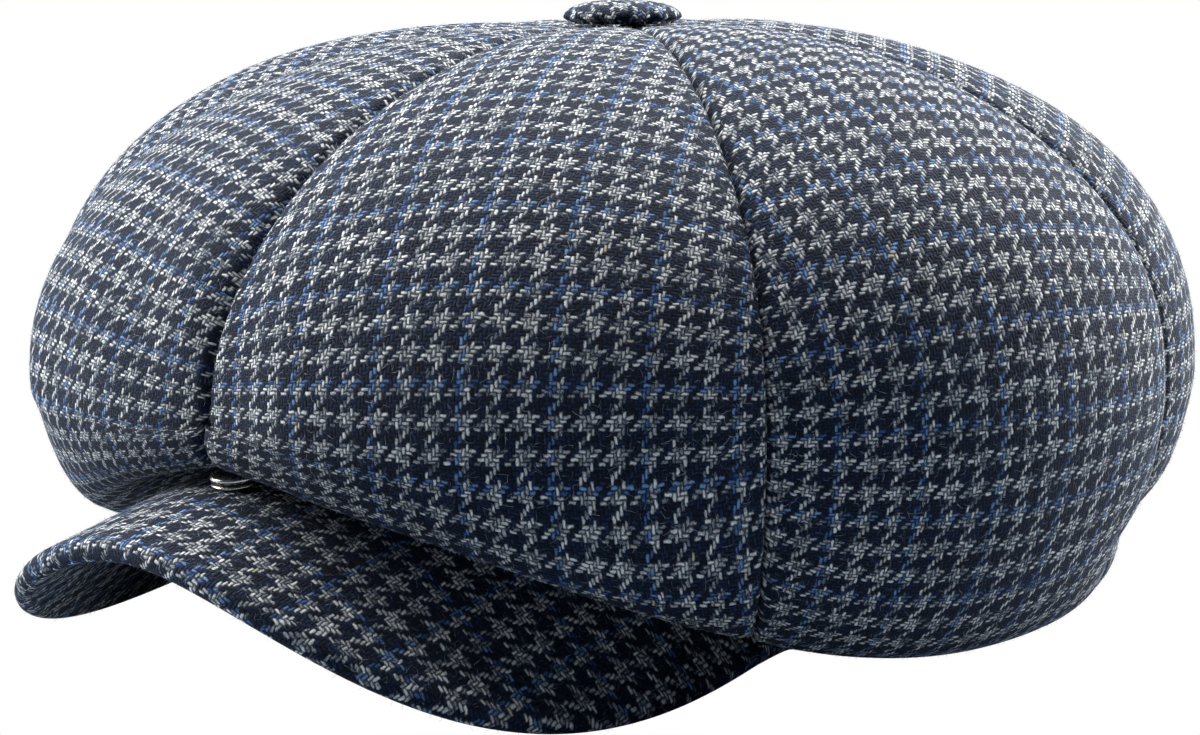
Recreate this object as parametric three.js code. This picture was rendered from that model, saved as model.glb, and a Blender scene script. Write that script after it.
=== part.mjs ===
// Eight-panel newsboy cap in wool tweed, standing on its back hem and the two sides of its peak.
// Millimetres, +Z up. The peak points to -Y and the wearer's left is +X.
// The origin lies on the ground under the middle of the whole cap.
import * as THREE from 'three';

// Distance from the middle of the head opening's frame to the middle of the whole cap.
const forwardShift = 14.6;

// Full crown, as radii and heights at the front, the side and the back.
const crown = {
  topHeight: 135.2,
  topBack: 5.5,
  sideRadius: 141.8,
  frontRadius: 140,
  backRadius: 130.5,
  planPower: 1.84,
  widestFront: 56,
  widestSide: 56,
  widestBack: 55,
  domePowerFront: 2.06,
  domePowerBack: 2.6,
  undersidePowerFront: 2.4,
  undersidePowerBack: 0.75,
  buttonDip: 3.3,
  buttonDipReach: 0.22,
};

// The underside hangs below a plain curve where the full cloth sags, most between the front and the sides.
const sag = { front: 9.7, quarter: 5, side: 13.6, back: 0 };

// Head opening, with the upright hem band above it.
const opening = { side: 86.5, front: 90, back: 99.5, turnIn: 1.1 };
const hem = { frontLift: 50.6, flatFrom: -0.07, liftPower: 2.25 };
const band = { front: 3.5, side: 4.5, back: 14, backSpread: 2.5 };

// Panels: the seams stand at these turns, from the centre front round by the wearer's left.
const seamTurns = [0, 49.5, 97, 137, 180, 223, 265, 313.5, 360];
const panel = { cloth: 2, hemCloth: 3, seamGap: 0.36, seamDepth: 5.5, hollowFade: 0.8, openTop: 5 };

// Curved peak. Its outer edge is an arched half oval that ends at the hem.
const peak = {
  endTurn: 67.7,
  acrossLimit: 0.96,
  halfWidth: 88.3,
  reach: 156.7,
  planPower: 2.49,
  middleHeight: 39,
  sideDrop: 47.3,
  archPower: 1.84,
  endBlend: 1.66,
  swell: 0.7,
  hemGap: 0.7,
  tuckUnderHem: 3.5,
  cover: 2,
  coverGap: 0.9,
  edgeRounding: 0.7,
};

// Soft dents and folds in the crown: where they lie, which way they run, and their size.
// turn and run are in degrees, level is 0 at the button, 1 at the widest line, 2 at the band.
const folds = [
  { turn: -8, level: 0.86, run: 48, long: 42, wide: 10, deep: 2.4 },
  { turn: -27, level: 0.98, run: 55, long: 30, wide: 12, deep: -1.8 },
  { turn: 4, level: 0.92, run: 80, long: 34, wide: 8, deep: 2.2 },
  { turn: 70, level: 0.55, run: 10, long: 60, wide: 22, deep: 1.2 },
  { turn: -79, level: 0.8, run: 30, long: 50, wide: 18, deep: 1.6 },
  { turn: 131, level: 0.7, run: 60, long: 50, wide: 16, deep: 1.4 },
  { turn: -66, level: 0.55, run: 90, long: 60, wide: 30, deep: -2.5 },
  { turn: -95, level: 0.3, run: 0, long: 50, wide: 16, deep: -3.5 },
  { turn: 106, level: 1.36, run: 0, long: 28, wide: 9, deep: 5 },
  { turn: 1, level: 1.56, run: 0, long: 16, wide: 24, deep: 3.5 },
];
const degreeArc = 2.2;
const levelRun = 120;

const button = { radius: 14, height: 5.6, seat: 0.9 };
const snap = { radius: 5.2, forward: 36, stud: 0.8, post: 1.7, postTall: 0.9, socket: 1.4, recess: 2.1, gap: 0.3 };

// Mesh steps.
const acrossSteps = [-1, -0.92, -0.76, -0.45, 0, 0.45, 0.76, 0.92, 1];
const domeRows = 11;
const undersideRows = 6;
const bandLevels = [2.3, 2.45, 3];
const peakColumns = 32;
const peakRows = [-1, 0, 0.2, 0.45, 0.7, 0.9, 1];

const tweed = new THREE.MeshStandardMaterial({ color: 0x5b6068, roughness: 0.95, metalness: 0 });
const shadedTweed = new THREE.MeshStandardMaterial({ color: 0x474b53, roughness: 0.95, metalness: 0 });
const nickel = new THREE.MeshStandardMaterial({ color: 0xc9c7c2, roughness: 0.3, metalness: 1 });

const radians = THREE.MathUtils.degToRad;
const { smoothstep } = THREE.MathUtils;

// Value at a turn from the front, given at the front, the side and the back.
function around(turn, front, side, back) {
  const facing = Math.cos(turn);
  const nearFront = Math.max(facing, 0) ** 2;
  const nearBack = Math.max(-facing, 0) ** 2;
  return side + (front - side) * nearFront + (back - side) * nearBack;
}

// Radius at a turn of an oval with its own front, side and back.
function ovalRadius(turn, side, front, back, power) {
  const along = Math.cos(turn) > 0 ? front : back;
  const sideways = Math.abs(Math.sin(turn) / side) ** power;
  const lengthways = Math.abs(Math.cos(turn) / along) ** power;
  return (sideways + lengthways) ** (-1 / power);
}

function outward(turn) {
  return new THREE.Vector3(Math.sin(turn), -Math.cos(turn), 0);
}

// Height of the hem's lower edge: flat round the back, rising over the front.
function hemHeight(turn) {
  const rise = Math.max(Math.cos(turn) - hem.flatFrom, 0) / (1 - hem.flatFrom);
  return hem.frontLift * rise ** hem.liftPower;
}

function hemRadius(turn) {
  return ovalRadius(turn, opening.side, opening.front, opening.back, 2) - opening.turnIn;
}

function bandRadius(turn) {
  const spread = band.backSpread * Math.max(-Math.cos(turn), 0);
  return ovalRadius(turn, opening.side, opening.front, opening.back, 2) + spread;
}

function bandHeight(turn) {
  return hemHeight(turn) + around(turn, band.front, band.side, band.back);
}

function foldDepth(turn, level) {
  let depth = 0;
  for (const fold of folds) {
    const apart = THREE.MathUtils.radToDeg(turn) - fold.turn;
    const sideways = (THREE.MathUtils.euclideanModulo(apart + 180, 360) - 180) * degreeArc;
    const downward = (level - fold.level) * levelRun;
    const run = radians(fold.run);
    const alongFold = sideways * Math.cos(run) + downward * Math.sin(run);
    const acrossFold = -sideways * Math.sin(run) + downward * Math.cos(run);
    depth += fold.deep * Math.exp(-((alongFold / fold.long) ** 2) - (acrossFold / fold.wide) ** 2);
  }
  return depth;
}

// Smooth crown without its seams. level runs 0 to 1 over the dome, to 2 underneath, to 3 down the band.
function crownBase(turn, level) {
  const widest = ovalRadius(turn, crown.sideRadius, crown.frontRadius, crown.backRadius, crown.planPower);
  const widestHeight = around(turn, crown.widestFront, crown.widestSide, crown.widestBack);
  const rim = outward(turn).multiplyScalar(widest);
  if (level <= 1) {
    const swing = level * Math.PI / 2;
    const middle = (crown.domePowerFront + crown.domePowerBack) / 2;
    const power = 2 / around(turn, crown.domePowerFront, middle, crown.domePowerBack);
    const spread = Math.sin(swing) ** power;
    const rise = Math.max(Math.cos(swing), 0) ** power;
    const dip = crown.buttonDip * Math.exp(-((spread / crown.buttonDipReach) ** 2));
    const top = new THREE.Vector3(0, crown.topBack, 0);
    const point = top.lerp(rim, spread);
    point.z = widestHeight + (crown.topHeight - widestHeight) * rise - dip;
    return point;
  }
  const neck = outward(turn).multiplyScalar(bandRadius(turn));
  if (level <= 2) {
    const swing = (level - 1) * Math.PI / 2;
    const middle = (crown.undersidePowerFront + crown.undersidePowerBack) / 2;
    const power = 2 / around(turn, crown.undersidePowerFront, middle, crown.undersidePowerBack);
    const spread = Math.max(Math.cos(swing), 0) ** power;
    const drop = Math.sin(swing) ** power;
    const quarter = Math.cos(turn) > 0 ? sag.quarter * Math.sin(2 * turn) ** 2 : 0;
    const slack = around(turn, sag.front, sag.side, sag.back) + quarter;
    const hang = slack * Math.sin((level - 1) * Math.PI) ** 2;
    const point = neck.lerp(rim, spread);
    point.z = widestHeight - (widestHeight - bandHeight(turn)) * drop - hang;
    return point;
  }
  const lower = outward(turn).multiplyScalar(hemRadius(turn));
  lower.z = hemHeight(turn);
  neck.z = bandHeight(turn);
  return neck.lerp(lower, level - 2);
}

// Outward direction square to the smooth crown.
function crownNormal(turn, level) {
  const step = 0.004;
  const upper = crownBase(turn, Math.max(level - step, 0.001));
  const lower = crownBase(turn, Math.min(level + step, 3));
  const left = crownBase(turn - step, level);
  const right = crownBase(turn + step, level);
  const down = lower.sub(upper);
  const sideways = right.sub(left);
  const normal = down.cross(sideways).normalize();
  if (level > 2.9) {
    normal.setZ(0).normalize();
  }
  return normal;
}

// Depth of the hollow that a seam draws into the cloth; across is -1 and 1 at the panel's two seams.
// It fades out underneath, where the cloth hangs and rests on the peak.
function seamHollow(across, level) {
  const fade = 1 - panel.hollowFade * smoothstep(level, 1, 1.55);
  const body = fade * Math.max(Math.sin(Math.min(level, 2) * Math.PI / 2), 0) ** 0.8;
  const edge = Math.abs(across);
  return panel.seamDepth * body * (0.6 * edge ** 1.6 + 0.4 * edge ** 8);
}

// A closed solid between two matching grids of points, with its rim walls.
function shellBetween(outer, inner) {
  const rows = outer.length;
  const columns = outer[0].length;
  const points = [...outer.flat(), ...inner.flat()];
  const innerStart = rows * columns;
  const faces = [];
  const quad = (a, b, c, d) => faces.push(a, b, c, a, c, d);
  const at = (row, column) => row * columns + column;
  for (let row = 0; row < rows - 1; row += 1) {
    for (let column = 0; column < columns - 1; column += 1) {
      const [a, b] = [at(row, column), at(row + 1, column)];
      quad(a, b, b + 1, a + 1);
      quad(innerStart + a, innerStart + a + 1, innerStart + b + 1, innerStart + b);
    }
  }
  const wall = (from, to) => quad(from, to, to + innerStart, from + innerStart);
  const mirroredWall = (from, to) => quad(to, to + innerStart, from + innerStart, from);
  for (let column = 0; column < columns - 1; column += 1) {
    wall(at(0, column), at(0, column + 1));
    wall(at(rows - 1, column + 1), at(rows - 1, column));
  }
  for (let row = 0; row < rows - 1; row += 1) {
    mirroredWall(at(row + 1, 0), at(row, 0));
    wall(at(row, columns - 1), at(row + 1, columns - 1));
  }
  const geometry = new THREE.BufferGeometry().setFromPoints(points);
  geometry.setIndex(faces);
  geometry.computeVertexNormals();
  return geometry;
}

function crownLevels() {
  const levels = [];
  const firstSpread = panel.openTop / crown.frontRadius;
  levels.push(Math.asin(firstSpread ** (crown.domePowerFront / 2)) * 2 / Math.PI);
  levels.push(0.045);
  for (let row = 1; row <= domeRows; row += 1) {
    levels.push(row / domeRows);
  }
  for (let row = 1; row <= undersideRows; row += 1) {
    levels.push(1 + row / undersideRows);
  }
  return levels.concat(bandLevels);
}

// One gore of the crown, from the button down to the turned hem.
function crownPanel(name, startTurn, endTurn) {
  const outer = [];
  const inner = [];
  for (const level of crownLevels()) {
    const outerRow = [];
    const innerRow = [];
    for (const across of acrossSteps) {
      const turn = radians(startTurn + (endTurn - startTurn) * (across + 1) / 2);
      const normal = crownNormal(turn, level);
      const foldShare = smoothstep(level, 0.1, 0.5) * (1 - smoothstep(level, 1.6, 2));
      const depth = seamHollow(across, level) + foldDepth(turn, level) * foldShare;
      const point = crownBase(turn, level).addScaledVector(normal, -depth);
      if (Math.abs(across) === 1) {
        const sideways = new THREE.Vector3(Math.cos(turn), Math.sin(turn), 0);
        point.addScaledVector(sideways, -across * panel.seamGap / 2);
      }
      const cloth = panel.cloth + (panel.hemCloth - panel.cloth) * smoothstep(level, 2.3, 2.45);
      outerRow.push(point);
      innerRow.push(point.clone().addScaledVector(normal, -cloth));
    }
    outer.push(outerRow);
    inner.push(innerRow);
  }
  const mesh = new THREE.Mesh(shellBetween(outer, inner), tweed);
  mesh.name = name;
  return mesh;
}

// Upper face of the peak. across runs -1 to 1 from side to side; out is 0 at the hem and 1 at the edge,
// and down to -1 where the peak is tucked under the hem.
function peakPoint(across, out) {
  const turn = radians(peak.endTurn) * across;
  const inner = outward(turn).multiplyScalar(hemRadius(turn));
  inner.z = hemHeight(turn) - peak.hemGap;
  if (out <= 0) {
    return inner.addScaledVector(outward(turn), out * peak.tuckUnderHem);
  }
  const endTurn = radians(peak.endTurn);
  const end = outward(endTurn).multiplyScalar(hemRadius(endTurn));
  const swing = across * Math.PI / 2;
  const sideways = Math.abs(Math.sin(swing)) ** (2 / peak.planPower);
  const forward = Math.max(Math.cos(swing), 0) ** (2 / peak.planPower);
  const toEnd = Math.abs(across) ** peak.endBlend;
  const arch = peak.middleHeight - peak.sideDrop * sideways ** peak.archPower;
  const edge = new THREE.Vector3(
    Math.sign(across) * (peak.halfWidth * sideways - (peak.halfWidth - end.x) * toEnd),
    end.y - (peak.reach + end.y) * forward,
    arch * (1 - toEnd) + (hemHeight(endTurn) - peak.hemGap) * toEnd,
  );
  const point = inner.lerp(edge, out);
  point.z += peak.swell * Math.sin(Math.PI * out);
  return point;
}

// Upward direction square to the middle of the peak at one place across it.
function peakNormal(across) {
  const step = 0.01;
  const middle = 0.5;
  const sideways = peakPoint(across + step, middle).sub(peakPoint(across - step, middle));
  const forward = peakPoint(across, middle + step).sub(peakPoint(across, middle - step));
  return forward.cross(sideways).normalize();
}

// One cloth cover of the peak, between two depths below its upper face.
function peakCover(name, topDepth, bottomDepth, material) {
  const upper = [];
  const lower = [];
  for (const out of peakRows) {
    const upperRow = [];
    const lowerRow = [];
    for (let column = 0; column <= peakColumns; column += 1) {
      const across = peak.acrossLimit * Math.sin((column / peakColumns - 0.5) * Math.PI);
      const normal = peakNormal(across);
      const point = peakPoint(across, out);
      const rounding = out === 1 ? peak.edgeRounding : 0;
      const total = 2 * peak.cover + peak.coverGap;
      const top = Math.max(topDepth, rounding);
      const bottom = Math.min(bottomDepth, total - rounding);
      upperRow.push(point.clone().addScaledVector(normal, -top));
      lowerRow.push(point.clone().addScaledVector(normal, -bottom));
    }
    upper.push(upperRow);
    lower.push(lowerRow);
  }
  const mesh = new THREE.Mesh(shellBetween(upper, lower), material);
  mesh.name = name;
  return mesh;
}

// Domed button, covered with the same cloth, seated on the meeting point of the panels.
function coveredButton() {
  const profile = [
    new THREE.Vector2(0, 0),
    new THREE.Vector2(button.radius * 0.93, 0),
    new THREE.Vector2(button.radius, button.height * 0.22),
    new THREE.Vector2(button.radius * 0.97, button.height * 0.48),
    new THREE.Vector2(button.radius * 0.83, button.height * 0.72),
    new THREE.Vector2(button.radius * 0.6, button.height * 0.89),
    new THREE.Vector2(button.radius * 0.3, button.height * 0.98),
    new THREE.Vector2(0, button.height),
  ];
  const geometry = new THREE.LatheGeometry(profile, 32);
  geometry.rotateX(Math.PI / 2);
  const mesh = new THREE.Mesh(geometry, tweed);
  mesh.name = 'button';
  mesh.position.set(0, crown.topBack, crown.topHeight - crown.buttonDip + button.seat);
  return mesh;
}

// Press stud: the stud half stands on the peak and enters the socket half under the crown.
function snapHalf(name, profile) {
  const geometry = new THREE.LatheGeometry(profile, 24);
  geometry.rotateX(Math.PI / 2);
  const mesh = new THREE.Mesh(geometry, nickel);
  mesh.name = name;
  return mesh;
}

function snapPair() {
  const foot = peakPoint(0, snap.forward / (peak.reach - hemRadius(0)));
  const normal = peakNormal(0);
  const pair = new THREE.Group();
  const stud = snapHalf('snap_stud', [
    new THREE.Vector2(0, 0),
    new THREE.Vector2(snap.radius, 0),
    new THREE.Vector2(snap.radius, snap.stud),
    new THREE.Vector2(snap.post, snap.stud),
    new THREE.Vector2(snap.post, snap.stud + snap.postTall),
    new THREE.Vector2(0, snap.stud + snap.postTall),
  ]);
  const socketFoot = snap.stud + snap.gap;
  const recessDepth = snap.postTall;
  const socket = snapHalf('snap_socket', [
    new THREE.Vector2(0, socketFoot + recessDepth),
    new THREE.Vector2(snap.recess, socketFoot + recessDepth),
    new THREE.Vector2(snap.recess, socketFoot),
    new THREE.Vector2(snap.radius, socketFoot),
    new THREE.Vector2(snap.radius, socketFoot + snap.socket),
    new THREE.Vector2(0, socketFoot + snap.socket),
  ]);
  pair.add(stud, socket);
  pair.position.copy(foot).addScaledVector(normal, snap.gap);
  pair.quaternion.setFromUnitVectors(new THREE.Vector3(0, 0, 1), normal);
  return pair;
}

const cap = new THREE.Group();
for (let index = 0; index < seamTurns.length - 1; index += 1) {
  cap.add(crownPanel(`crown_panel_${index + 1}`, seamTurns[index], seamTurns[index + 1]));
}
cap.add(peakCover('peak_top', 0, peak.cover, tweed));
cap.add(peakCover('peak_under', peak.cover + peak.coverGap, 2 * peak.cover + peak.coverGap, shadedTweed));
cap.add(coveredButton());
cap.add(snapPair());
cap.position.y = forwardShift;
export default cap;
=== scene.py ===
import math

import bpy
import numpy as np
from mathutils import Matrix, Vector


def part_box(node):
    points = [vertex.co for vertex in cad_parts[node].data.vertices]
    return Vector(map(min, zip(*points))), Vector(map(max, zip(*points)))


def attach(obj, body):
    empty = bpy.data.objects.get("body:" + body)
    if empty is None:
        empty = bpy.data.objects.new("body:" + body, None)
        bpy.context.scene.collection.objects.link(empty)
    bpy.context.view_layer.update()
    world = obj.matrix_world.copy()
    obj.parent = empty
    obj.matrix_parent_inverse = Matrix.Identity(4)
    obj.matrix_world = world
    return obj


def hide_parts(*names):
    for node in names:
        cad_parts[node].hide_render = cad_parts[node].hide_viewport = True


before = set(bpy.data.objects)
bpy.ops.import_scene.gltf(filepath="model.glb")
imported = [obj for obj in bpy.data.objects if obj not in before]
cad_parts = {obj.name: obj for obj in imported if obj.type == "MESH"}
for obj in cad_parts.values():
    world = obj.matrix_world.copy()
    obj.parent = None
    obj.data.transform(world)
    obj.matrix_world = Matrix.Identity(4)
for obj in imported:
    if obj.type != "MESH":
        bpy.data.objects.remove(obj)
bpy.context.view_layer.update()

# Lengths are in millimetres until a mesh is made. Turns are in degrees from the front (-Y),
# counted toward the wearer's left (+X).


def linearColour(hexText):
    # sRGB hex to the linear values that shaders use
    channels = [int(hexText[i:i + 2], 16) / 255 for i in (1, 3, 5)]
    return [c / 12.92 if c <= 0.04045 else ((c + 0.055) / 1.055) ** 2.4 for c in channels] + [1]


def addNode(tree, kind, inputs=(), output=0, **settings):
    # inputs is a list, or a dictionary by socket; a socket is linked and a value is set
    node = tree.nodes.new("ShaderNode" + kind)
    for setting, value in settings.items():
        setattr(node, setting, value)
    for key, value in inputs.items() if isinstance(inputs, dict) else enumerate(inputs):
        if isinstance(value, bpy.types.NodeSocket):
            tree.links.new(value, node.inputs[key])
        else:
            node.inputs[key].default_value = value
    return node if output is None else node.outputs[output]


def newMaterial(name):
    material = bpy.data.materials.new(name)
    material.use_nodes = True
    material.node_tree.nodes.clear()
    return material, material.node_tree


# The cloth is a 2/2 twill tweed. Four light and four dark yarns alternate both ways, which draws the
# houndstooth, and every third light group begins with two blue yarns, which draws the overcheck.
tweed = {
    "warpSpacing": 0.74,  # mm from one warp yarn to the next
    "weftSpacing": 0.80,  # mm from one weft yarn to the next
    "checkYarns": 8,
    "lightYarns": 4,
    "overcheckYarns": 24,
    "blueYarns": 2,
    "yarnRelief": 0.30,  # mm that a float stands over the gap beside it
    "firstYarn": 480,  # number of the yarn at the middle of a cut, so that none is below zero
    "unevenness": 1.3,  # yarns that a thread strays from its line
    "unevennessScale": 0.42,  # of the noise that it strays by, per yarn
    "frizz": 0.6,  # yarns that a thread's edge wavers, from fibre to fibre
    "frizzScale": 2.8,
    "floatEnds": 0.55,  # how bluntly a float dips at its ends, 1 is a plain wave
    "floatSides": 1.15,  # and at its sides
    "fibreScale": [3.2, 1.4, 40],  # of the fibres' noise across and along a yarn, and from warp to weft
    "floatTone": 0.35,  # how much each float's own tone counts beside its fibres
    "fleckFrom": 0.5,  # tones at which the fleck begins and is full
    "fleckTo": 0.88,
    "fibreRelief": 0.4,  # of a fibre, as a share of the float's
    "lightYarn": "#e8eae9",
    "lightFleck": "#3b4b5e",
    "darkYarn": "#030d21",
    "darkFleck": "#10294a",
    "blueYarn": "#1d3c70",
    "blueFleck": "#7496c4",
    "nep": "#b5ad98",  # the odd knot of another wool
    "nepShare": 0.0012,
    "gapShade": 0.14,  # painted shade in the gaps between yarns, how dark it makes them, 0 is black
    "roughness": 0.9,
    "sheen": 0.03,
    "sheenRoughness": 0.3,
}


def tweedMaterial(name, cloth):
    # Woven wool tweed, napped in finishing: matt floats that catch light one by one, painted shade in the
    # gaps between them, flecked yarns and a pale bloom of fibre at glancing angles.
    material, tree = newMaterial(name)
    yarns = addNode(tree, "UVMap", uv_map="yarns")  # one unit is one yarn
    stray = addNode(tree, "TexNoise", {"Vector": yarns, "Scale": cloth["unevennessScale"],
                                      "Detail": 3}, "Color")
    fromMiddle = addNode(tree, "VectorMath", [stray, [0.5, 0.5, 0.5]], operation="SUBTRACT")
    wander = [cloth["unevenness"], cloth["unevenness"], 0]
    strayed = addNode(tree, "VectorMath", [fromMiddle, wander, yarns], operation="MULTIPLY_ADD")
    fine = addNode(tree, "TexNoise", {"Vector": yarns, "Scale": cloth["frizzScale"], "Detail": 3,
                                      "Roughness": 0.65}, "Color")
    fineMiddle = addNode(tree, "VectorMath", [fine, [0.5, 0.5, 0.5]], operation="SUBTRACT")
    waver = [cloth["frizz"], cloth["frizz"], 0]
    wavered = addNode(tree, "VectorMath", [fineMiddle, waver, strayed], operation="MULTIPLY_ADD")
    place = addNode(tree, "SeparateXYZ", [wavered], None)
    warpPlace, weftPlace = place.outputs[0], place.outputs[1]
    warpNumber = addNode(tree, "Math", [warpPlace], operation="FLOOR")
    weftNumber = addNode(tree, "Math", [weftPlace], operation="FLOOR")
    diagonal = addNode(tree, "Math", [warpNumber, weftNumber], operation="ADD")
    step = addNode(tree, "Math", [diagonal, 4], operation="MODULO")
    warpOnTop = addNode(tree, "Math", [step, 1.5], operation="GREATER_THAN")
    acrossAll = addNode(tree, "Mix", {0: warpOnTop, 2: weftPlace, 3: warpPlace})
    alongAll = addNode(tree, "Mix", {0: warpOnTop, 2: warpPlace, 3: weftPlace})
    yarnNumber = addNode(tree, "Math", [acrossAll], operation="FLOOR")
    acrossYarn = addNode(tree, "Math", [acrossAll], operation="FRACT")
    alongCell = addNode(tree, "Math", [alongAll], operation="FRACT")
    alongNumber = addNode(tree, "Math", [alongAll], operation="FLOOR")
    # each float passes over two yarns; its rise and fall is one half wave
    cellOfFloat = addNode(tree, "Math", [warpOnTop, -2, step], operation="MULTIPLY_ADD")
    alongTwo = addNode(tree, "Math", [cellOfFloat, alongCell], operation="ADD")
    alongAngle = addNode(tree, "Math", [alongTwo, math.pi / 2], operation="MULTIPLY")
    alongWave = addNode(tree, "Math", [alongAngle], operation="SINE")
    alongRise = addNode(tree, "Math", [alongWave, cloth["floatEnds"]], operation="POWER")
    acrossAngle = addNode(tree, "Math", [acrossYarn, math.pi], operation="MULTIPLY")
    acrossWave = addNode(tree, "Math", [acrossAngle], operation="SINE")
    acrossRise = addNode(tree, "Math", [acrossWave, cloth["floatSides"]], operation="POWER")
    floatHeight = addNode(tree, "Math", [alongRise, acrossRise], operation="MULTIPLY")
    # no two floats are alike: each has its own tone and its own fullness
    floatStart = addNode(tree, "Math", [alongNumber, cellOfFloat], operation="SUBTRACT")
    floatKey = addNode(tree, "CombineXYZ", [yarnNumber, floatStart, warpOnTop])
    chance = addNode(tree, "TexWhiteNoise", {"Vector": floatKey}, "Color")
    chances = addNode(tree, "SeparateXYZ", [chance], None)
    # fibres: streaks drawn out along whichever yarn is on top
    streakPlace = addNode(tree, "CombineXYZ", [acrossAll, alongAll, warpOnTop])
    drawnOut = addNode(tree, "VectorMath", [streakPlace, cloth["fibreScale"]], operation="MULTIPLY")
    fibre = addNode(tree, "TexNoise", {"Vector": drawnOut, "Scale": 1, "Detail": 3, "Roughness": 0.7})
    tone = addNode(tree, "Math", [chances.outputs[0], cloth["floatTone"], fibre], operation="MULTIPLY_ADD")
    fleck = addNode(tree, "MapRange", [tone, cloth["fleckFrom"], cloth["fleckTo"], 0, 1])
    lightWool = addNode(tree, "Mix", {0: fleck, 6: linearColour(cloth["lightFleck"]),
                                      7: linearColour(cloth["lightYarn"])}, 2, data_type="RGBA")
    darkWool = addNode(tree, "Mix", {0: fleck, 6: linearColour(cloth["darkYarn"]),
                                     7: linearColour(cloth["darkFleck"])}, 2, data_type="RGBA")
    blueWool = addNode(tree, "Mix", {0: fleck, 6: linearColour(cloth["blueYarn"]),
                                     7: linearColour(cloth["blueFleck"])}, 2, data_type="RGBA")
    inCheck = addNode(tree, "Math", [yarnNumber, cloth["checkYarns"]], operation="MODULO")
    isLight = addNode(tree, "Math", [inCheck, cloth["lightYarns"] - 0.5], operation="LESS_THAN")
    inOvercheck = addNode(tree, "Math", [yarnNumber, cloth["overcheckYarns"]], operation="MODULO")
    isBlue = addNode(tree, "Math", [inOvercheck, cloth["blueYarns"] - 0.5], operation="LESS_THAN")
    isNep = addNode(tree, "Math", [chances.outputs[1], cloth["nepShare"]], operation="LESS_THAN")
    greyWool = addNode(tree, "Mix", {0: isLight, 6: darkWool, 7: lightWool}, 2, data_type="RGBA")
    threads = addNode(tree, "Mix", {0: isBlue, 6: greyWool, 7: blueWool}, 2, data_type="RGBA")
    flecked = addNode(tree, "Mix", {0: isNep, 6: threads, 7: linearColour(cloth["nep"])}, 2,
                      data_type="RGBA")
    # the gap begins lower on a full float than on a lean one
    gapHeight = addNode(tree, "MapRange", [chances.outputs[2], 0, 1, 0.05, 0.35])
    # painted shade: the yarn colour is darkened where the float sinks into the gap beside it
    shade = addNode(tree, "MapRange", [floatHeight, gapHeight, 0.75, cloth["gapShade"], 1],
                    interpolation_type="SMOOTHSTEP")
    shaded = addNode(tree, "Mix", {0: 1.0, 6: flecked, 7: shade}, 2, data_type="RGBA",
                     blend_type="MULTIPLY")
    relief = addNode(tree, "Math", [fibre, cloth["fibreRelief"], floatHeight], operation="MULTIPLY_ADD")
    normal = addNode(tree, "Bump", {"Height": relief, "Strength": 1,
                                    "Distance": cloth["yarnRelief"] / 1000})
    surface = addNode(tree, "BsdfPrincipled", {
        "Base Color": shaded, "Normal": normal, "Roughness": cloth["roughness"],
        "Specular IOR Level": 0.2, "Sheen Weight": cloth["sheen"],
        "Sheen Roughness": cloth["sheenRoughness"], "Sheen Tint": linearColour("#dfe3ea")})
    addNode(tree, "OutputMaterial", {"Surface": surface}, None)
    return material


def napMaterial():
    # Loose wool fibre raised in milling: matt, some navy and most pale grey, it blurs the weave's edges.
    material, tree = newMaterial("wool_fibre_milled_nap")
    shade = addNode(tree, "SeparateXYZ", [addNode(tree, "UVMap", uv_map="yarns")])
    colour = addNode(tree, "Mix", {0: shade, 6: linearColour("#15253c"), 7: linearColour("#b4babf")}, 2,
                     data_type="RGBA")
    surface = addNode(tree, "BsdfPrincipled", {"Base Color": colour, "Roughness": 0.9,
                                               "Specular IOR Level": 0.2})
    addNode(tree, "OutputMaterial", {"Surface": surface}, None)
    return material


tweedCloth = tweedMaterial("wool_tweed_woven_houndstooth", tweed)
napWool = napMaterial()
print("cloth material ready")

# shape of the cap, to the outer face of its cloth
crown = {
    "topHeight": 135.2, "topBack": 5.5,
    "sideRadius": 141.8, "frontRadius": 140, "backRadius": 130.5, "planPower": 1.84,
    "widestFront": 56, "widestSide": 56, "widestBack": 55,
    "domeFront": 2.06, "domeBack": 2.6, "undersideFront": 2.4, "undersideBack": 0.75,
    "buttonDip": 3.3, "buttonDipReach": 0.22,
    "sagFront": 9.7, "sagQuarter": 5, "sagSide": 13.6,
    "openingSide": 86.5, "openingFront": 90, "openingBack": 99.5, "hemTurnIn": 1.1,
    "hemLift": 50.6, "hemFlatFrom": -0.07, "hemPower": 2.25,
    "bandFront": 3.5, "bandSide": 4.5, "bandBack": 14, "bandSpread": 2.5,
}
# Soft folds: where (turn, level), which way they run, their length, width and depth.
# level is 0 at the button, 1 at the widest line, 2 at the band and 3 at the hem.
folds = [
    {"turn": -8, "level": 0.86, "run": 48, "long": 42, "wide": 10, "deep": 2.4},
    {"turn": -27, "level": 0.98, "run": 55, "long": 30, "wide": 12, "deep": -1.8},
    {"turn": 4, "level": 0.92, "run": 80, "long": 34, "wide": 8, "deep": 2.2},
    {"turn": 70, "level": 0.55, "run": 10, "long": 60, "wide": 22, "deep": 1.2},
    {"turn": -79, "level": 0.8, "run": 30, "long": 50, "wide": 18, "deep": 1.6},
    {"turn": 131, "level": 0.7, "run": 60, "long": 50, "wide": 16, "deep": 1.4},
    {"turn": -66, "level": 0.55, "run": 90, "long": 60, "wide": 30, "deep": -2.5},
    {"turn": -95, "level": 0.3, "run": 0, "long": 50, "wide": 16, "deep": -3.5},
    {"turn": 106, "level": 1.36, "run": 0, "long": 28, "wide": 9, "deep": 5},
    {"turn": 1, "level": 1.56, "run": 0, "long": 16, "wide": 24, "deep": 3.5},  # over the press stud
]
degreeArc = 2.2  # mm along the crown for each degree of turn
levelRun = 120  # mm down the crown for each level

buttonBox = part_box("button")
# middle of the head opening, which the surfaces below are drawn around
middleY = (buttonBox[0][1] + buttonBox[1][1]) / 2 * 1000 - crown["topBack"]


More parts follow.
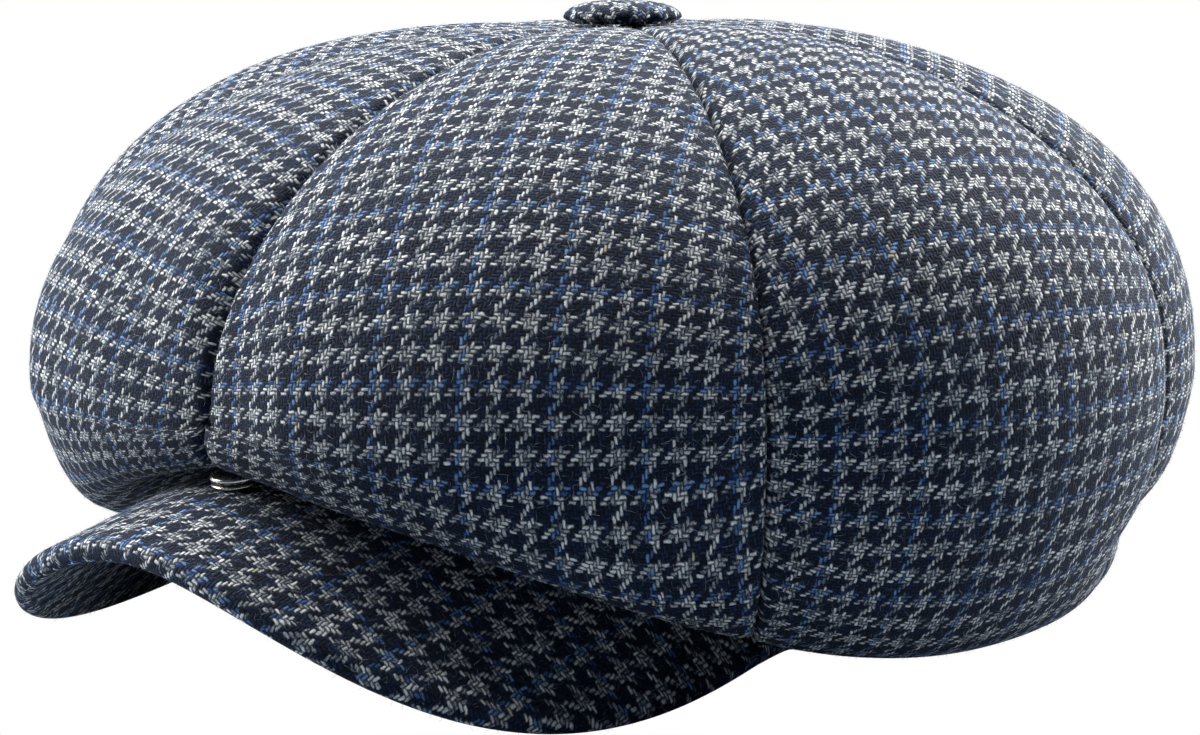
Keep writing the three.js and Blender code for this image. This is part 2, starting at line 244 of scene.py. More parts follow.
def around(turn, front, side, back):
    facing = np.cos(turn)
    atFront, atBack = np.maximum(facing, 0) ** 2, np.maximum(-facing, 0) ** 2
    return side + (front - side) * atFront + (back - side) * atBack


def ovalRadius(turn, side, front, back, power):
    along = np.where(np.cos(turn) > 0, front, back)
    sideways = np.abs(np.sin(turn) / side) ** power
    return (sideways + np.abs(np.cos(turn) / along) ** power) ** (-1 / power)


def outward(turn):
    return np.stack([np.sin(turn), -np.cos(turn), np.zeros_like(turn)], -1)


def upward(height):
    return np.stack([np.zeros_like(height), np.zeros_like(height), height], -1)


def openingRadius(turn):
    return ovalRadius(turn, crown["openingSide"], crown["openingFront"], crown["openingBack"], 2)


def hemHeight(turn):
    rise = np.maximum(np.cos(turn) - crown["hemFlatFrom"], 0) / (1 - crown["hemFlatFrom"])
    return crown["hemLift"] * rise ** crown["hemPower"]


def bandHeight(turn):
    return hemHeight(turn) + around(turn, crown["bandFront"], crown["bandSide"], crown["bandBack"])


def crownSurface(turn, level):
    # the crown without its seams and folds
    widest = ovalRadius(turn, crown["sideRadius"], crown["frontRadius"], crown["backRadius"],
                        crown["planPower"])
    widestHeight = around(turn, crown["widestFront"], crown["widestSide"], crown["widestBack"])
    rim = outward(turn) * widest[..., None]
    # dome
    swing = np.clip(level, 0, 1) * math.pi / 2
    middlePower = (crown["domeFront"] + crown["domeBack"]) / 2
    power = 2 / around(turn, crown["domeFront"], middlePower, crown["domeBack"])
    spread = np.sin(swing) ** power
    rise = np.maximum(np.cos(swing), 0) ** power
    dip = crown["buttonDip"] * np.exp(-((spread / crown["buttonDipReach"]) ** 2))
    top = np.array([0, crown["topBack"], 0])
    domeHeight = widestHeight + (crown["topHeight"] - widestHeight) * rise - dip
    dome = top + (rim - top) * spread[..., None] + upward(domeHeight)
    # underside
    neckRadius = openingRadius(turn) + crown["bandSpread"] * np.maximum(-np.cos(turn), 0)
    neck = outward(turn) * neckRadius[..., None]
    swing = (np.clip(level, 1, 2) - 1) * math.pi / 2
    middlePower = (crown["undersideFront"] + crown["undersideBack"]) / 2
    power = 2 / around(turn, crown["undersideFront"], middlePower, crown["undersideBack"])
    inward = np.maximum(np.cos(swing), 0) ** power
    drop = np.sin(swing) ** power
    quarter = np.where(np.cos(turn) > 0, crown["sagQuarter"] * np.sin(2 * turn) ** 2, 0)
    hang = (around(turn, crown["sagFront"], crown["sagSide"], 0) + quarter) * np.sin(2 * swing) ** 2
    underHeight = widestHeight - (widestHeight - bandHeight(turn)) * drop - hang
    under = neck + (rim - neck) * inward[..., None] + upward(underHeight)
    # band
    bandTop = neck + upward(bandHeight(turn))
    hemLine = outward(turn) * (openingRadius(turn) - crown["hemTurnIn"])[..., None]
    hemLine = hemLine + upward(hemHeight(turn))
    band = bandTop + (hemLine - bandTop) * (np.clip(level, 2, 3) - 2)[..., None]
    return np.where((level <= 1)[..., None], dome, np.where((level <= 2)[..., None], under, band))


def unit(vectors):
    return vectors / np.maximum(np.linalg.norm(vectors, axis=-1, keepdims=True), 1e-9)


def crownNormal(turn, level):
    step = 0.004
    lower, higher = np.minimum(level + step, 3), np.maximum(level - step, 0.001)
    down = crownSurface(turn, lower) - crownSurface(turn, higher)
    sideways = crownSurface(turn + step, level) - crownSurface(turn - step, level)
    normal = unit(np.cross(down, sideways))
    flat = unit(normal * [1, 1, 0])  # along the hem the cloth stands upright
    return np.where((np.broadcast_to(level, normal.shape[:-1]) > 2.9)[..., None], flat, normal)


def smoothStep(value, low, high):
    share = np.clip((value - low) / (high - low), 0, 1)
    return share * share * (3 - 2 * share)


def foldDepth(turn, level):
    depth = np.zeros_like(turn)
    for fold in folds:
        sideways = ((np.degrees(turn) - fold["turn"] + 180) % 360 - 180) * degreeArc
        downward = (level - fold["level"]) * levelRun
        run = math.radians(fold["run"])
        along = sideways * math.cos(run) + downward * math.sin(run)
        across = downward * math.cos(run) - sideways * math.sin(run)
        depth += fold["deep"] * np.exp(-(along / fold["long"]) ** 2 - (across / fold["wide"]) ** 2)
    # folds die out toward the button and the band
    return depth * smoothStep(level, 0.1, 0.5) * (1 - smoothStep(level, 1.6, 2))


def gridShell(outer, inner):
    # quads of a closed shell between two matching grids, wound to face out
    rows, columns = outer.shape[:2]
    at = np.arange(rows * columns).reshape(rows, columns)
    deep = at + rows * columns
    a, b, c, d = at[:-1, :-1], at[1:, :-1], at[1:, 1:], at[:-1, 1:]
    quads = [np.stack([a, b, c, d], -1), np.stack([a, d, c, b], -1) + rows * columns]
    rims = [(at[0], deep[0]), (at[-1, ::-1], deep[-1, ::-1]),
            (at[::-1, 0], deep[::-1, 0]), (at[:, -1], deep[:, -1])]
    for edge, under in rims:
        quads.append(np.stack([edge[:-1], edge[1:], under[1:], under[:-1]], -1))
    return np.concatenate([q.reshape(-1, 4) for q in quads])


def makePiece(name, points, faces, yarnPlaces, material, nodes):
    # points in mm, in the head opening's frame
    mesh = bpy.data.meshes.new(name)
    placed = (np.asarray(points) + [0, middleY, 0]) / 1000
    mesh.from_pydata(placed.tolist(), [], faces.tolist() if isinstance(faces, np.ndarray) else faces)
    corners = np.empty(len(mesh.loops), np.int32)
    mesh.loops.foreach_get("vertex_index", corners)
    if yarnPlaces is not None:
        layer = mesh.uv_layers.new(name="yarns")
        layer.data.foreach_set("uv", np.asarray(yarnPlaces, np.float32)[corners].ravel())
    mesh.shade_smooth()
    mesh.materials.append(material)
    piece = bpy.data.objects.new(name, mesh)
    bpy.context.scene.collection.objects.link(piece)
    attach(piece, "root")
    if nodes:
        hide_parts(*nodes)
    return piece


nap = {
    "perSquareCentimetre": 32,
    "length": 1.9,
    "lengthSpread": (0.4, 1.2),  # shares of that length, shortest and longest
    "thickness": 0.05,
    "rootDepth": 0.1,  # how far below the cloth's face it starts
    "rise": 0.55,  # how steeply a fibre leaves the cloth
    "droop": 1.2,  # how much of its rise it loses at each bend
    "curl": 0.5,
    "pairs": 3,  # of points along each fibre
    "seed": 7,
}
random = np.random.default_rng(nap["seed"])


def napOn(piece, inside):
    # loose fibres over the side of a piece that faces away from a point inside the cap
    mesh = piece.data
    count = len(mesh.polygons)
    middles, normals, areas = np.empty((count, 3)), np.empty((count, 3)), np.empty(count)
    mesh.polygons.foreach_get("center", middles.ravel())
    mesh.polygons.foreach_get("normal", normals.ravel())
    mesh.polygons.foreach_get("area", areas)
    middles = middles * 1000 - [0, middleY, 0]
    areas = areas * 1e6 * (np.sum(normals * (middles - inside), axis=-1) > 0)
    howMany = int(areas.sum() / 100 * nap["perSquareCentimetre"])
    picked = random.choice(count, howMany, p=areas / areas.sum())
    lift = normals[picked]
    heading = unit(np.cross(lift, random.normal(size=lift.shape)))
    jitter = random.uniform(-0.5, 0.5, (howMany, 1)) * np.sqrt(areas[picked])[:, None]
    place = middles[picked] + heading * jitter - lift * nap["rootDepth"]
    reach = nap["length"] * random.uniform(*nap["lengthSpread"], (howMany, 1)) / (nap["pairs"] - 1)
    rows = []
    for step in range(nap["pairs"]):
        side = unit(np.cross(lift, heading)) * nap["thickness"] / 2 * (1 - step / (nap["pairs"] + 1))
        rows.append(np.stack([place - side, place + side], 1))
        place = place + (heading + lift * nap["rise"] * (1 - nap["droop"] * step)) * reach
        heading = unit(heading + side / nap["thickness"] * 2 * random.normal(0, nap["curl"], (howMany, 1)))
    points = np.stack(rows, 1).reshape(-1, 3)
    points[:, 2] = np.maximum(points[:, 2], 0)  # pressed flat where the cap rests
    pointsEach = 2 * nap["pairs"]
    first = np.arange(howMany)[:, None] * pointsEach + np.arange(0, pointsEach - 2, 2)[None]
    faces = np.stack([first, first + 1, first + 3, first + 2], -1).reshape(-1, 4)
    tones = np.repeat(random.uniform(0, 1, howMany), pointsEach)
    shades = np.stack([tones, tones], -1)
    return makePiece(f"{piece.name}_nap", points, faces, shades, napWool, [])


panels = {
    "seamTurns": [0, 49.5, 97, 137, 180, 223, 265, 313.5, 360],
    "cloth": 1.2,  # thickness
    "seamRadius": 2.2,  # of the cloth's outer face where it turns in at a seam or the hem
    "narrowSeam": 0.35,  # that radius at most, as a share of half the panel's width near the button
    "seamDepth": 5.5,  # how far the seams lie below the middle of the panels
    "hollowFade": 0.8,  # share of that hollow that is lost underneath
    "hollowFaded": 1.55,  # level by which it is lost
    "allowance": 7,  # turned back inside along each seam
    "narrowAllowance": 0.4,  # and at most this share of half the panel's width
    "hemAllowance": 12,
    "openTop": 5,  # how far from the middle of the top the panels begin, under the button
    "columns": 64,
    "columnSpread": 0.9,  # columns crowd toward the seams, 0 is even and 1 is as a circle's
    "rows": 150,
    "insidePoint": [0, 0, 45],  # the nap is on the faces that look away from here
    # yarns by which each panel's cut is shifted, sideways and lengthways
    "cutShift": [(1, 16), (14, 2), (7, 19), (20, 9), (11, 0), (2, 13), (17, 7), (9, 21)],
}


def meridians(turns):
    # arc length along the crown at each turn, from the button to the hem
    levels = np.linspace(0.012, 3, 700)
    line = crownSurface(np.repeat(turns[:, None], len(levels), 1), np.repeat(levels[None], len(turns), 0))
    lengths = np.linalg.norm(np.diff(line, axis=1), axis=2)
    return levels, np.concatenate([np.zeros((len(turns), 1)), np.cumsum(lengths, 1)], 1)


def crownPanel(number):
    radius, cloth = panels["seamRadius"], panels["cloth"]
    start, end = (math.radians(turn) for turn in panels["seamTurns"][number - 1:number + 1])
    middle, halfTurn = (start + end) / 2, (end - start) / 2
    # columns: turned-in allowance, the turn at the seam, the panel's face, and the same again
    spread = panels["columnSpread"]
    face = np.sin(np.linspace(-1, 1, panels["columns"] + 1) * math.pi / 2 * spread)
    face = face / math.sin(math.pi / 2 * spread)
    turnIn = np.radians([15, 35, 60, 90, 120, 150, 180])
    back = np.array([0.3, 0.65, 1])  # shares of the allowance
    turnedBack = np.full(len(back), math.pi)
    # nominal place of each column from -1 to 1
    atSeam = np.ones(len(turnIn) + len(back))
    place = np.concatenate([-atSeam, face, atSeam])
    swing = np.concatenate([turnedBack, turnIn[::-1], np.zeros(len(face)), turnIn, turnedBack])
    behind = np.concatenate([back[::-1], np.zeros(len(turnIn) * 2 + len(face)), back])
    # rows: down the face, the turn at the hem, and back up inside
    faceRows = np.linspace(0, 1, panels["rows"] + 1)
    hemSwing = np.concatenate([np.zeros(len(faceRows)), turnIn, turnedBack])
    hemBehind = np.concatenate([np.zeros(len(faceRows) + len(turnIn)), back])
    down = np.concatenate([faceRows, atSeam])

    turns = middle + halfTurn * place
    levels, lengths = meridians(turns)

    def grid(faceRadius):
        # faceRadius is the turning radius of the cloth's outer or inner face
        fromHem = radius - faceRadius * np.sin(hemSwing) + panels["hemAllowance"] * hemBehind
        hemDepth = radius - faceRadius * np.cos(hemSwing)
        total = lengths[:, -1][None]
        along = panels["openTop"] + (total - radius - panels["openTop"]) * down[:, None]
        along = np.where(hemSwing[:, None] > 0, total - fromHem[:, None], along)
        level = np.stack([np.interp(along[:, i], lengths[i], levels) for i in range(len(turns))], 1)
        turn = np.repeat(turns[None], len(level), 0)
        fromTop = crownSurface(turn, level)[..., :2] - [0, crown["topBack"]]
        halfWidth = halfTurn * np.linalg.norm(fromTop, axis=-1)
        seamRadius = np.minimum(radius, panels["narrowSeam"] * halfWidth)
        scale = seamRadius / radius
        allowance = np.minimum(panels["allowance"], panels["narrowAllowance"] * halfWidth)
        fromSeam = seamRadius - faceRadius * scale * np.sin(swing)[None] + allowance * behind[None]
        seamSide = np.sign(place)[None] * (np.abs(place)[None] == 1) * (1 - fromSeam / halfWidth)
        across = np.where(swing[None] > 0, seamSide, place[None] * (1 - seamRadius / halfWidth))
        depth = (radius - faceRadius * np.cos(swing)[None]) * scale + hemDepth[:, None]
        depth = depth - (radius - faceRadius)  # both terms hold the face's own depth
        turn = middle + halfTurn * across
        normal = crownNormal(turn, level)
        fade = 1 - panels["hollowFade"] * smoothStep(level, 1, panels["hollowFaded"])
        body = fade * np.maximum(np.sin(np.minimum(level, 2) * math.pi / 2), 0) ** 0.8
        edge = np.abs(across)
        # a broad rounding over the whole panel, and a sharper one close to the seam
        hollow = panels["seamDepth"] * body * (0.6 * edge ** 1.6 + 0.4 * edge ** 8)
        depth = depth + hollow + foldDepth(turn, level)
        points = crownSurface(turn, level) - normal * depth[..., None]
        return points, across, level, halfWidth, along

    outer, across, level, halfWidth, along = grid(radius)
    inner = grid(radius - cloth)[0]
    # where the cloth lies in the flat cut: sideways from the centre line, and down it
    sideways = across * halfWidth
    sideways += np.sign(place)[None] * 2 * panels["allowance"] * behind[None]
    # a row of the cut bows as much as the crown narrows there
    centreLine = crownSurface(np.full_like(level, middle), level)
    reach = np.linalg.norm(centreLine[..., :2] - [0, crown["topBack"]], axis=-1)
    centreAlong = np.interp(level.ravel(), levels, lengths[len(turns) // 2]).reshape(level.shape)
    centreAlong += 2 * panels["hemAllowance"] * hemBehind[:, None]
    bend = np.gradient(reach, axis=0) / np.maximum(np.gradient(centreAlong, axis=0), 1e-3)
    bend = np.where(hemSwing[:, None] > 0, 0, np.clip(bend, -1, 1))
    downCut = centreAlong - bend / np.maximum(reach, 12) * sideways ** 2 / 2
    shiftAcross, shiftDown = panels["cutShift"][number - 1]
    yarnPlaces = np.stack([sideways / tweed["warpSpacing"] + tweed["firstYarn"] + shiftAcross,
                           downCut / tweed["weftSpacing"] + tweed["firstYarn"] + shiftDown], -1)
    faces = gridShell(outer, inner)
    points = np.concatenate([outer.reshape(-1, 3), inner.reshape(-1, 3)])
    doubled = np.concatenate([yarnPlaces.reshape(-1, 2)] * 2)
    name = f"crown_panel_{number}"
    piece = makePiece(f"{name}_cloth", points, faces, doubled, tweedCloth, [name])
    napOn(piece, panels["insidePoint"])


for number in range(1, 9):
    crownPanel(number)
print("crown panels ready")

peak = {
    "endTurn": 67.7, "halfWidth": 88.3, "reach": 156.7, "planPower": 2.49,
    "middleHeight": 39, "sideDrop": 47.3, "archPower": 1.84, "endBlend": 1.66, "swell": 0.7,
    "hemGap": 0.7, "tuckUnderHem": 3.5,
    "thickness": 4.9,  # both covers with the stiff board between them
    "seamLow": 0.7,  # the edge seam's place below the middle, in half thicknesses
    "backingGap": 0.06,  # from each cover's inner face to the middle of the thickness
    "acrossLimit": 0.96,  # the covers stop just short of the peak's ends
    "allowance": 8,  # on every side of the cut
    "cutShare": 0.62,  # of its rectangle that the crescent fills
    "columns": 150,
    "rows": 42,
}


def peakSurface(across, out):
    # upper face: across is -1 to 1 from side to side, out is 0 at the hem and 1 at the edge
    endTurn = math.radians(peak["endTurn"])
    turn = endTurn * across
    hemLine = outward(turn) * (openingRadius(turn) - crown["hemTurnIn"])[..., None]
    hemLine = hemLine + upward(hemHeight(turn) - peak["hemGap"])
    endRadius = openingRadius(np.array(endTurn)) - crown["hemTurnIn"]
    endX, endY = endRadius * math.sin(endTurn), -endRadius * math.cos(endTurn)
    endHeight = hemHeight(np.array(endTurn)) - peak["hemGap"]
    swing = across * math.pi / 2
    sideways = np.abs(np.sin(swing)) ** (2 / peak["planPower"])
    forward = np.maximum(np.cos(swing), 0) ** (2 / peak["planPower"])
    toEnd = np.abs(across) ** peak["endBlend"]
    arch = peak["middleHeight"] - peak["sideDrop"] * sideways ** peak["archPower"]
    edge = np.stack([
        np.sign(across) * (peak["halfWidth"] * sideways - (peak["halfWidth"] - endX) * toEnd),
        endY - (peak["reach"] + endY) * forward,
        arch * (1 - toEnd) + endHeight * toEnd], -1)
    point = hemLine + (edge - hemLine) * np.maximum(out, 0)[..., None]
    point = point + outward(turn) * (np.minimum(out, 0) * peak["tuckUnderHem"])[..., None]
    return point + upward(peak["swell"] * np.sin(math.pi * np.clip(out, 0, 1)))


def peakNormal(across, out):
    step = 0.01
    out = np.clip(out, 0.15, 0.9)
    sideways = peakSurface(across + step, out) - peakSurface(across - step, out)
    forward = peakSurface(across, out + step) - peakSurface(across, out - step)
    return unit(np.cross(forward, sideways))


def loftedLoops(loops):
    # a closed solid through a row of closed loops, with flat ends
    count, size = loops.shape[:2]
    at = np.arange(count * size).reshape(count, size)
    following = np.roll(at, -1, 1)
    quads = np.stack([at[:-1], following[:-1], following[1:], at[1:]], -1).reshape(-1, 4)
    return quads.tolist() + [at[0][::-1].tolist(), at[-1].tolist()]


def peakCover(name, node, facing):
    # facing is 1 for the cover on top and -1 for the one underneath; each rolls round the edge to
    # the seam in the middle of the thickness
    half = peak["thickness"] / 2
    across = peak["acrossLimit"] * np.sin(np.linspace(-1, 1, peak["columns"] + 1) * math.pi / 2)
    rim = peakSurface(across, np.ones_like(across))
    rootLine = peakSurface(across, np.zeros_like(across))
    rimNormal = peakNormal(across, np.ones_like(across))
    sideways = unit(np.gradient(rim, axis=0))
    beyond = unit(np.cross(sideways, rimNormal))
    length = np.linalg.norm(rim - rootLine, axis=1)
    # the face stops half a thickness short of the edge, and the roll makes up the rest
    directness = np.maximum(np.sum(unit(rim - rootLine) * beyond, 1), 0.35)
    inset = np.minimum(half / directness / length, 0.6)
    share = np.concatenate([[-1, -0.5], np.linspace(0, 1, peak["rows"] + 1)])
    out = np.where(share[None] > 0, share[None] * (1 - inset[:, None]), share[None])
    wide = np.repeat(across[:, None], out.shape[1], 1)
    normal = peakNormal(wide, out)
    middle = peakSurface(wide, out) - normal * half
    face = middle + normal * half * facing
    backing = middle + normal * peak["backingGap"] * facing
    # the roll's cross-section: how far out and how far up, in half thicknesses; the edge seam is low
    seam = -math.degrees(math.asin(peak["seamLow"])) * facing
    roll = np.radians(np.linspace(90, seam + 7, 12)[1:])
    section = [(math.cos(angle), math.sin(angle)) for angle in roll]
    low = math.sin(math.radians(seam))
    section += [(0.93 * math.cos(math.radians(seam)), low + 0.05), (0.7, low * 0.8 + 0.04),
                (0.45, low * 0.3 + 0.03)]
    rollPoints = [middle[:, -1] + half * (beyond * outShare + normal[:, -1] * facing * upShare)
                  for outShare, upShare in section]
    loops = np.concatenate([face, np.stack(rollPoints, 1), backing[:, ::-1]], 1)
    if facing < 0:
        loops = loops[:, ::-1]
    # flat cut: sideways along the arch, and forward
    run = np.linalg.norm(np.diff(loops[..., [0, 2]], axis=0), axis=2)
    sidewaysCut = np.concatenate([np.zeros((1, loops.shape[1])), np.cumsum(run, 0)])
    sidewaysCut -= sidewaysCut[len(across) // 2]
    forwardCut = -loops[..., 1]
    # round the edge the cut goes on by the length of the roll
    flatEnd = face.shape[1] - 1
    rolled = loops if facing > 0 else loops[:, ::-1]
    rollEnd = flatEnd + len(section) + 1
    rollSteps = np.linalg.norm(np.diff(rolled[:, flatEnd:rollEnd], axis=1), axis=2)
    goesOn = np.zeros_like(sidewaysCut)
    goesOn[:, flatEnd + 1:rollEnd] = np.cumsum(rollSteps, 1)
    if facing < 0:
        goesOn = goesOn[:, ::-1]
    onRoll = goesOn > 0
    edgeIndex = flatEnd if facing > 0 else loops.shape[1] - 1 - flatEnd
    atEdge = forwardCut[:, edgeIndex:edgeIndex + 1]
    forwardCut = np.where(onRoll, atEdge - goesOn * beyond[:, 1:2], forwardCut)
    sideAtEdge = sidewaysCut[:, edgeIndex:edgeIndex + 1]
    sidewaysCut = np.where(onRoll, sideAtEdge + goesOn * beyond[:, 0:1], sidewaysCut)
    yarnPlaces = np.stack([sidewaysCut / tweed["warpSpacing"] + tweed["firstYarn"],
                           forwardCut / tweed["weftSpacing"] + tweed["firstYarn"]], -1)
    piece = makePiece(name, loops.reshape(-1, 3), loftedLoops(loops), yarnPlaces.reshape(-1, 2), tweedCloth,
                      [node])
    farSide = [0, -80, 20 - facing * 300]  # well behind the cover, so that fibres stand on its face only
    napOn(piece, farSide)


peakCover("peak_top_cloth", "peak_top", 1)
peakCover("peak_under_cloth", "peak_under", -1)
print("peak ready")


def turned(profile, steps, ripple=None):
    # a closed solid turned about Z from (radius, height) pairs that start and end on the axis; where
    # it ripples, each pair has a third number, its share of the ripple
    angles = np.linspace(0, 2 * math.pi, steps, endpoint=False)
    ring = np.array(profile[1:-1])
    radius = np.repeat(ring[None, :, 0], steps, 0)
    if ripple is not None:
        radius = radius * (1 + ripple(angles)[:, None] * np.array([point[2] for point in ring])[None])
    points = np.stack([radius * np.cos(angles)[:, None], radius * np.sin(angles)[:, None],
                       np.repeat(ring[None, :, 1], steps, 0)], -1)
    at = np.arange(steps * len(ring)).reshape(steps, len(ring))
    following = np.roll(at, -1, 0)
    corners = [at[:, :-1], following[:, :-1], following[:, 1:], at[:, 1:]]
    quads = np.stack(corners, -1).reshape(-1, 4).tolist()
    first, last = steps * len(ring), steps * len(ring) + 1
    faces = quads + [[first, b, a] for a, b in zip(at[:, 0].tolist(), following[:, 0].tolist())]
    faces += [[last, a, b] for a, b in zip(at[:, -1].tolist(), following[:, -1].tolist())]
    ends = [[0, 0, profile[0][1]], [0, 0, profile[-1][1]]]
    return np.concatenate([points.reshape(-1, 3), ends]), faces


button = {
    "radius": 14,
    "height": 5.6,
    "holeRadius": 6,  # of the gathered opening underneath
    "puckers": 15,
    "puckerDepth": 0.045,  # as a share of the radius
    "cutRadius": 20,
    "cloth": 1.2,  # thickness
    "lowestSwing": 0.9,  # radians below its widest line at which the rim begins
    "rimSteps": 25,
    "aroundSteps": 170,
    "cutShift": [9.5, 5],  # yarns by which its cut is shifted, sideways and lengthways
}


def coveredButton():
    # a disc of cloth drawn over a domed shell and gathered beneath it
    def dome(inset):
        # outline from the gathered hole under the button, round its rim and up to the middle: radius,
        # height and how much the puckers show there
        radius, height = button["radius"] - inset, button["height"] - inset
        low = inset
        start, steps = button["lowestSwing"], button["rimSteps"]
        outline = [(button["holeRadius"], low, 0.9), (radius * 0.6, low, 1), (radius * 0.84, low + 0.05, 1)]
        for step in range(steps + 1):
            swing = -start + step / steps * (math.pi / 2 + start)
            rise = math.sin(swing)
            middle = button["height"] * 0.3
            if rise > 0:
                up = middle + (height - middle) * rise
            else:
                up = middle + (middle - low) * rise / math.sin(start)
            out = radius * max(math.cos(max(swing, -0.6)), 0.0) ** 0.8
            if out > 0.3:
                outline.append((out, up, max(0.0, 1 - 1.6 * max(swing, 0))))
        return outline + [(0, height, 0)]

    outer, inner = dome(0), dome(button["cloth"])
    profile = inner[::-1] + outer

    def ripple(angles):
        return button["puckerDepth"] * (np.abs(np.sin(button["puckers"] / 2 * angles)) - 0.6)

    points, faces = turned(profile, button["aroundSteps"], ripple)
    foot = np.array([0, crown["topBack"], buttonBox[0][2] * 1000])
    heading = np.arctan2(points[:, 1], points[:, 0])
    # distance of each ring from the button's middle along the cloth
    fromMiddle = [sum(math.dist(outer[i][:2], outer[i + 1][:2]) for i in range(k, len(outer) - 1))
                  for k in range(len(outer))]
    ringCut = np.array(fromMiddle[::-1][1:] + fromMiddle[:-1])
    cutRadius = np.concatenate([np.tile(ringCut, button["aroundSteps"]), [0, 0]])
    places = np.stack([cutRadius * np.cos(heading), cutRadius * np.sin(heading)], -1)
    places = places / [tweed["warpSpacing"], tweed["weftSpacing"]]
    places += tweed["firstYarn"] + np.array(button["cutShift"])
    piece = makePiece("button_cloth", points + foot, faces, places, tweedCloth, ["button"])
    napOn(piece, foot + [0, 0, 1])


coveredButton()


def nickelMaterial():
    # Nickel-plated brass, pressed and tumbled: a bright warm grey mirror with fine soft scuffs.
    material, tree = newMaterial("nickel_plated_brass_pressed")
    place = addNode(tree, "TexCoord", output="Object")
    scuffs = addNode(tree, "TexNoise", {"Vector": place, "Scale": 2500, "Detail": 2})
    roughness = addNode(tree, "MapRange", [scuffs, 0.3, 0.7, 0.16, 0.34])
    surface = addNode(tree, "BsdfPrincipled", {"Base Color": linearColour("#c9c4ba"), "Metallic": 1,
                                               "Roughness": roughness})
    addNode(tree, "OutputMaterial", {"Surface": surface}, None)
    return material


nickel = nickelMaterial()
snap = {
    "radius": 5.2,
    "forward": 36,  # from the hem's front edge
    "stud": 0.8,  # height of the lower half
    "post": 1.7,  # radius of its knob
    "postTall": 0.9,
    "socket": 1.4,  # height of the upper half
    "recess": 2.1,
    "gap": 0.3,  # between the two halves, and under the lower one
    "lip": 0.35,  # rounding of the rims
    "aroundSteps": 64,
}


def pressStud():
    hemFront = openingRadius(np.array(0.0)) - crown["hemTurnIn"]
    out = np.array(snap["forward"] / (peak["reach"] - hemFront))
    foot = peakSurface(np.array(0.0), out)
    lean = Vector(peakNormal(np.array(0.0), out))
    turn = Vector((0, 0, 1)).rotation_difference(lean).to_matrix()
    foot = foot + np.array(lean) * snap["gap"]
    r, lip = snap["radius"], snap["lip"]
    studTop = snap["stud"] + snap["postTall"]
    studShape = [(0, 0), (r - lip, 0), (r, lip * 0.6), (r - 0.1, lip * 1.5), (r - lip, snap["stud"] - 0.1),
                 (r * 0.72, snap["stud"] - 0.25), (snap["post"] + 0.4, snap["stud"]),
                 (snap["post"] * 0.85, snap["stud"] + 0.3), (snap["post"], studTop - 0.35),
                 (snap["post"] * 0.75, studTop - 0.08), (0, studTop)]
    low = snap["stud"] + snap["gap"]
    high = low + snap["socket"]
    socketShape = [(0, low + snap["postTall"]), (snap["recess"], low + snap["postTall"]),
                   (snap["recess"], low + 0.2), (snap["recess"] + 0.3, low), (r * 0.7, low + 0.15),
                   (r - lip, low), (r, low + lip * 0.7),
                   (r, high - 0.5), (r - 0.4, high - 0.1), (r * 0.8, high), (0, high)]
    for name, shape in (("snap_stud", studShape), ("snap_socket", socketShape)):
        points, faces = turned(shape, snap["aroundSteps"])
        placed = points @ np.array(turn).T + foot
        makePiece(f"{name}_pressed", placed, faces, None, nickel, [name])


pressStud()
print("button and press stud ready")

camera = bpy.data.objects.new("camera", bpy.data.cameras.new("camera"))
bpy.context.scene.collection.objects.link(camera)
bpy.context.scene.camera = camera
shot = {"azimuth": 36.52, "elevation": 9, "distance": 550, "aim": [0, 0, 60], "roll": -0.26,
        "lens": 68.25, "sensorWidth": 36, "shiftRight": -0.00825, "shiftUp": -0.03333}
azimuth, elevation, roll = (math.radians(shot[key]) for key in ("azimuth", "elevation", "roll"))
# directions from the cap: back toward the camera, and level ones to its right and away from it
back = Vector((math.sin(azimuth) * math.cos(elevation), -math.cos(azimuth) * math.cos(elevation),
               math.sin(elevation)))
rightLevel = Vector((math.cos(azimuth), math.sin(azimuth), 0))
awayLevel = Vector((-math.sin(azimuth), math.cos(azimuth), 0))
upLevel = back.cross(rightLevel)
right = rightLevel * math.cos(roll) + upLevel * math.sin(roll)
up = back.cross(right)
aim = (Vector(shot["aim"]) + Vector((0, middleY, 0))) / 1000
camera.rotation_mode = "QUATERNION"
camera.rotation_quaternion = Matrix((right, up, back)).transposed().to_quaternion()
camera.location = aim + back * (shot["distance"] / 1000)
camera.data.sensor_width = shot["sensorWidth"]
camera.data.lens = shot["lens"]
camera.data.shift_x = shot["shiftRight"]
camera.data.shift_y = shot["shiftUp"]
camera.data.clip_start = 0.01

stage = {
    "floor": "#99a3ae",
    # metres from the middle of the floor
    "front": 3.0, "wall": 1.6, "wallHeight": 3.0, "halfWidth": 3.5,
    "cove": 0.5,  # radius, metres
    "coveSteps": 12,
    "fillColour": "#b8d0fa",
    "fillLight": 0.09,
    "lampsFace": (0, 0, 0.06),
}


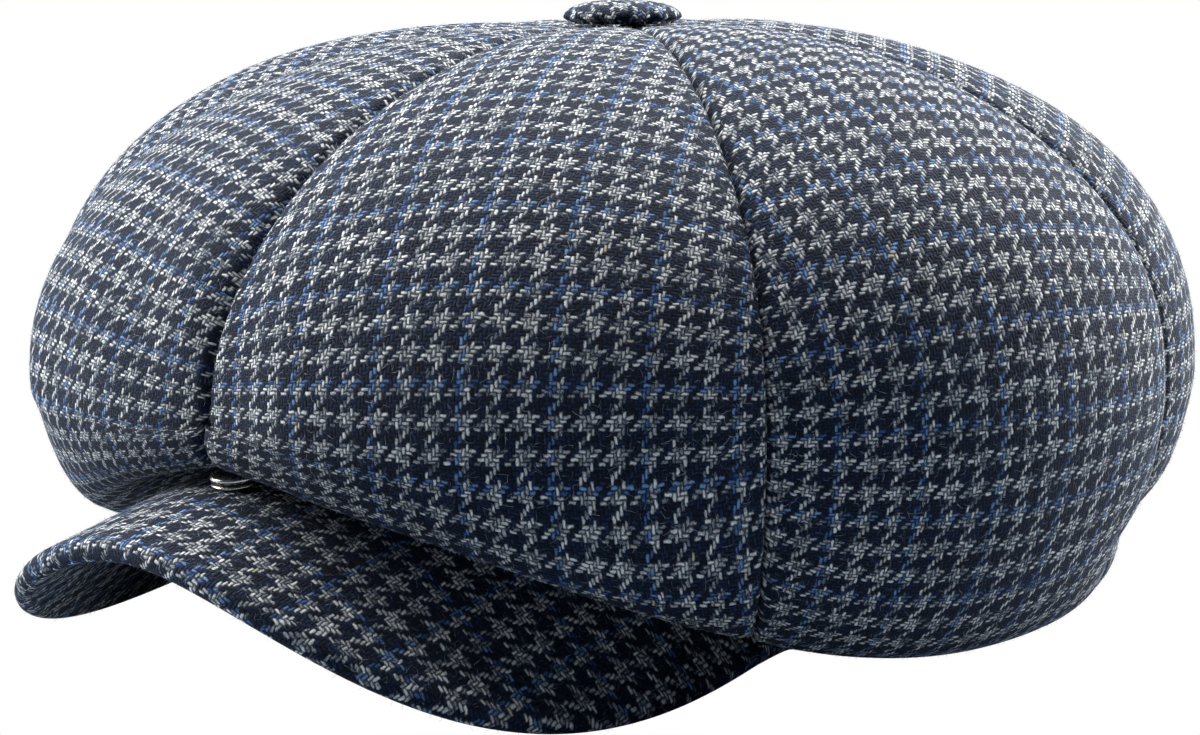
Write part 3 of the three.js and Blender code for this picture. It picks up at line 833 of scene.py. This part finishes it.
def makeStage():
    # a sheet of grey-blue paper that runs back and curves up behind; it only throws light back, and the
    # cap is seen on plain white
    coveStart = stage["wall"] - stage["cove"]
    along = [(-stage["front"], 0.0), (coveStart, 0.0)]
    for step in range(1, stage["coveSteps"] + 1):
        swing = step / stage["coveSteps"] * math.pi / 2
        along.append((coveStart + stage["cove"] * math.sin(swing), stage["cove"] * (1 - math.cos(swing))))
    along.append((stage["wall"], stage["wallHeight"]))
    points, faces = [], []
    for distance, height in along:
        for sideways in (stage["halfWidth"], -stage["halfWidth"]):
            points.append(awayLevel * distance + rightLevel * sideways + Vector((0, 0, height)))
    for i in range(len(along) - 1):
        faces.append([2 * i, 2 * i + 1, 2 * i + 3, 2 * i + 2])
    mesh = bpy.data.meshes.new("paper_sweep")
    mesh.from_pydata(points, [], faces)
    mesh.shade_smooth()
    sweep = bpy.data.objects.new("paper_sweep", mesh)
    bpy.context.scene.collection.objects.link(sweep)
    material, tree = newMaterial("studio_paper_matt")
    surface = addNode(tree, "BsdfPrincipled", {"Base Color": linearColour(stage["floor"]), "Roughness": 0.9,
                                               "Specular IOR Level": 0.1})
    addNode(tree, "OutputMaterial", {"Surface": surface}, None)
    mesh.materials.append(material)
    sweep.visible_camera = False


makeStage()

# places are metres to the camera's right, away from the camera and up, from the middle of the floor
lamps = [
    {"name": "overhead", "place": (0.0, 0.46, 1.15), "size": 1.5, "watts": 47},
    {"name": "left", "place": (-1.15, 0.28, 0.6), "size": 0.8, "watts": 42},
    {"name": "right", "place": (1.15, 0.68, 0.58), "size": 0.8, "watts": 54},
]
for lamp in lamps:
    light = bpy.data.lights.new(lamp["name"], "AREA")
    light.size = lamp["size"]
    light.energy = lamp["watts"]
    holder = bpy.data.objects.new(lamp["name"], light)
    sideways, away, height = lamp["place"]
    holder.location = rightLevel * sideways + awayLevel * away + Vector((0, 0, height))
    holder.rotation_mode = "QUATERNION"
    holder.rotation_quaternion = (Vector(stage["lampsFace"]) - holder.location).to_track_quat("-Z", "Y")
    bpy.context.scene.collection.objects.link(holder)

world = bpy.data.worlds.new("studio")
bpy.context.scene.world = world
world.use_nodes = True
background = world.node_tree.nodes["Background"]
# the fill light is faint and blue, and the camera itself sees plain white
seenDirectly = addNode(world.node_tree, "LightPath", {}, "Is Camera Ray")
strength = addNode(world.node_tree, "MapRange", [seenDirectly, 0, 1, stage["fillLight"], 1])
colour = addNode(world.node_tree, "Mix", {0: seenDirectly, 6: linearColour(stage["fillColour"]),
                                          7: linearColour("#ffffff")}, 2, data_type="RGBA")
world.node_tree.links.new(strength, background.inputs["Strength"])
world.node_tree.links.new(colour, background.inputs["Color"])
bpy.context.scene.view_settings.view_transform = "Standard"
print("camera and light ready")
